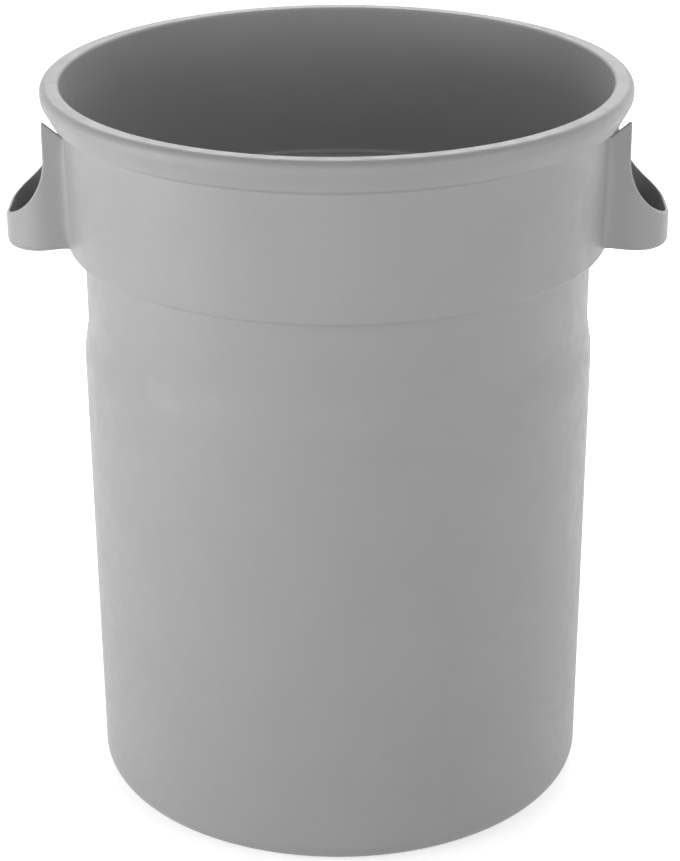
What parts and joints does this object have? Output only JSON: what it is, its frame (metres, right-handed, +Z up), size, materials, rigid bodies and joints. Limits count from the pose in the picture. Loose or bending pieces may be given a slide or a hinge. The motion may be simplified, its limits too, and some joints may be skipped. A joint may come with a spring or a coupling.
{
  "type": "waste bin",
  "caption": "Open round utility bin with a tapered tub, a wider collar, a rolled lip and scooped pocket handles on opposite sides.",
  "frame": {"origin": "centre of the foot, on the surface the bin stands on", "axes": "+Z up along the bin's axis, X through both handles, Y towards the back"},
  "size_m": [0.627, 0.55, 0.705],
  "materials": {
    "moulding": "satin moulded polyethylene, neutral grey"
  },
  "bodies": {
    "root": {"base_ribs": "moulding", "base_pan": "moulding", "tub_wall": "moulding", "neck_band": "moulding", "collar_ledge": "moulding", "collar_wall": "moulding", "rim_lip": "moulding", "handle_left": "moulding", "handle_right": "moulding"}
  },
  "joints": []
}
